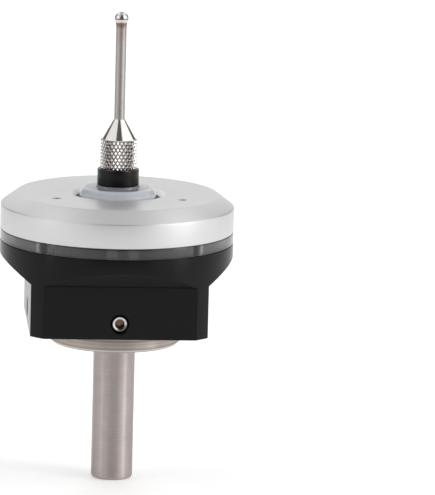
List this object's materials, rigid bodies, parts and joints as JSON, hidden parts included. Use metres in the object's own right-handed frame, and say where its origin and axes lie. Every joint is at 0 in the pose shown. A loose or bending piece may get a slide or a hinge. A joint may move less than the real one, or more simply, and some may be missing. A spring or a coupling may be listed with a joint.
{
  "type": "touch-trigger edge finder",
  "caption": "Touch-trigger edge finder: ball stylus on a sprung kinematic seat in a round housing with light ring, centring set screws and a ground shank.",
  "frame": {"origin": "centre of the flange's lower face, where the shank leaves it", "axes": "+Z along the stylus towards its ball, -Y out of the front flat, shank down -Z"},
  "size_m": [0.0336, 0.0336, 0.0681],
  "materials": {
    "ground_steel": "fine ground hardened steel",
    "black_anodised": "satin black anodised",
    "black_screw_steel": "black oxide",
    "set_screw_steel": "bright turned",
    "smoked_acrylic": "smoked clear, satin moulded",
    "satin_aluminium": "fine bead-blasted, clear anodised",
    "board_laminate": "coated circuit laminate",
    "white_board": "white coated circuit laminate",
    "lamp_lens": "clear over yellow phosphor",
    "gold_contact": "gold plated",
    "socket_steel": "drawn, tin plated",
    "black_plastic": "matt acetal",
    "natural_plastic": "natural acetal",
    "spring_steel": "drawn spring wire",
    "cap_brass": "turned",
    "hard_pin_steel": "hardened and lapped",
    "turned_steel": "fine turned",
    "boot_rubber": "milky translucent blue-grey",
    "nickel_plate": "bright nickel plate",
    "rod_steel": "centreless ground",
    "polished_ball": "lapped bearing ball"
  },
  "bodies": {
    "probe_body": {"shank": "ground_steel", "housing": "black_anodised", "shank_screw": "black_screw_steel", "shank_washer": "spring_steel", "light_ring": "smoked_acrylic", "cover": "satin_aluminium", "long_screws": "black_screw_steel", "seat_plate": "board_laminate", "seat_balls": "polished_ball", "seat_screws": "black_screw_steel", "lamp_board": "white_board", "lamps": "lamp_lens", "contact_posts": "gold_contact", "main_board": "board_laminate", "board_pins": "gold_contact", "socket_shell": "socket_steel", "socket_tongue": "black_plastic", "socket_contacts": "gold_contact", "spring_seat": "natural_plastic", "spring": "spring_steel"},
    "set_screw_front": {"set_screw_front": "set_screw_steel"},
    "set_screw_back": {"set_screw_back": "set_screw_steel"},
    "set_screw_left": {"set_screw_left": "set_screw_steel"},
    "set_screw_right": {"set_screw_right": "set_screw_steel"},
    "spring_cap": {"spring_cap": "cap_brass"},
    "pivot_ball": {"pivot_ball": "polished_ball"},
    "spider": {"spider_hub": "natural_plastic", "spider_arms": "hard_pin_steel", "stem": "turned_steel", "boot": "boot_rubber", "sleeve": "black_plastic"},
    "stylus": {"stylus_base": "nickel_plate", "stylus_rod": "rod_steel", "stylus_ball": "polished_ball"}
  },
  "joints": [
    {"name": "press_in", "type": "slide", "parent": "probe_body", "child": "spring_cap", "axis": [0, 0, -1], "range_m": [0, 0.0015], "stiffness_N_per_m": 400, "springref_m": -0.004, "deforming": ["spring"]},
    {"name": "tilt_front_back", "type": "hinge", "parent": "spring_cap", "child": "pivot_ball", "pos_m": [0, 0, 0.01574], "axis": [1, 0, 0], "range_deg": [-4, 4], "stiffness_Nm_per_rad": 0.1},
    {"name": "tilt_left_right", "type": "hinge", "parent": "pivot_ball", "child": "spider", "pos_m": [0, 0, 0.01574], "axis": [0, 1, 0], "range_deg": [-4, 4], "stiffness_Nm_per_rad": 0.1},
    {"name": "stylus_unscrew", "type": "hinge", "parent": "spider", "child": "stylus", "pos_m": [0, 0, 0.025], "axis": [0, 0, 1], "continuous": true},
    {"name": "set_screw_front_turn", "type": "hinge", "parent": "probe_body", "child": "set_screw_front", "pos_m": [0, -0.0125, 0.00485], "axis": [0, -1, 0], "continuous": true},
    {"name": "set_screw_back_turn", "type": "hinge", "parent": "probe_body", "child": "set_screw_back", "pos_m": [0, 0.0125, 0.00485], "axis": [0, 1, 0], "continuous": true},
    {"name": "set_screw_left_turn", "type": "hinge", "parent": "probe_body", "child": "set_screw_left", "pos_m": [-0.0125, 0, 0.00485], "axis": [-1, 0, 0], "continuous": true},
    {"name": "set_screw_right_turn", "type": "hinge", "parent": "probe_body", "child": "set_screw_right", "pos_m": [0.0125, 0, 0.00485], "axis": [1, 0, 0], "continuous": true}
  ]
}
